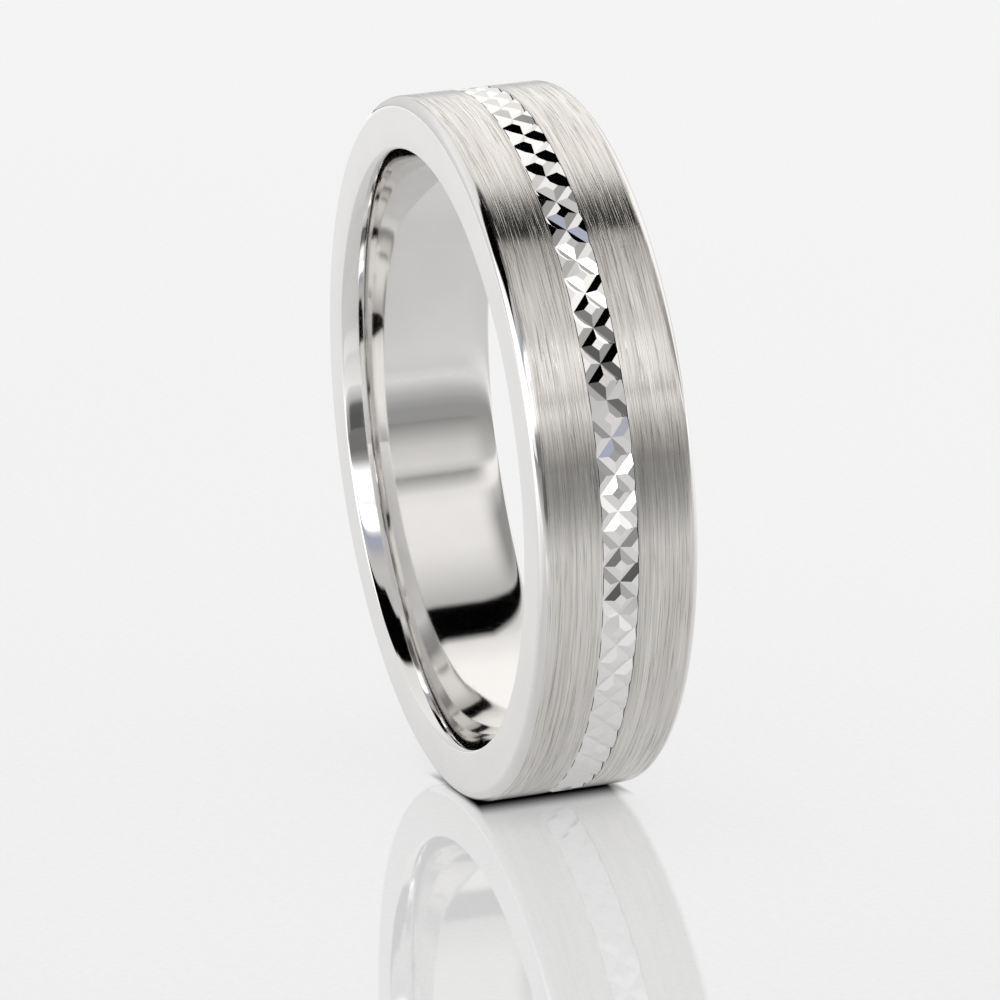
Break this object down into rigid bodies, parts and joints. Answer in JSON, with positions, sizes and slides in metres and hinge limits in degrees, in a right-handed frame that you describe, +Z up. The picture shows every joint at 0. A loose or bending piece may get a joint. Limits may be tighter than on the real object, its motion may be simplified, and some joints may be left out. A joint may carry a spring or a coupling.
{
  "type": "wedding band",
  "caption": "Flat wedding band with a rounded comfort-fit bore, brushed rails and a diamond-cut centre ring set in the channel between them.",
  "frame": {"origin": "centre of the bore, midway between the side faces", "axes": "+Y along the finger axis towards the rear side face, +Z up with the band standing on its rim, +X to the right seen from the front side face"},
  "size_m": [0.022, 0.005, 0.022],
  "materials": {
    "brushed_white_gold": "brushed round the band",
    "polished_white_gold": "mirror polished",
    "diamond_cut_white_gold": "diamond cut, mirror bright facets",
    "white_gold_solder": "as flowed"
  },
  "bodies": {
    "root": {"comfort_liner": "polished_white_gold", "front_rail": "brushed_white_gold", "rear_rail": "brushed_white_gold", "faceted_centre_ring": "diamond_cut_white_gold", "front_rail_solder": "white_gold_solder", "rear_rail_solder": "white_gold_solder", "centre_ring_solder": "white_gold_solder"}
  },
  "joints": []
}
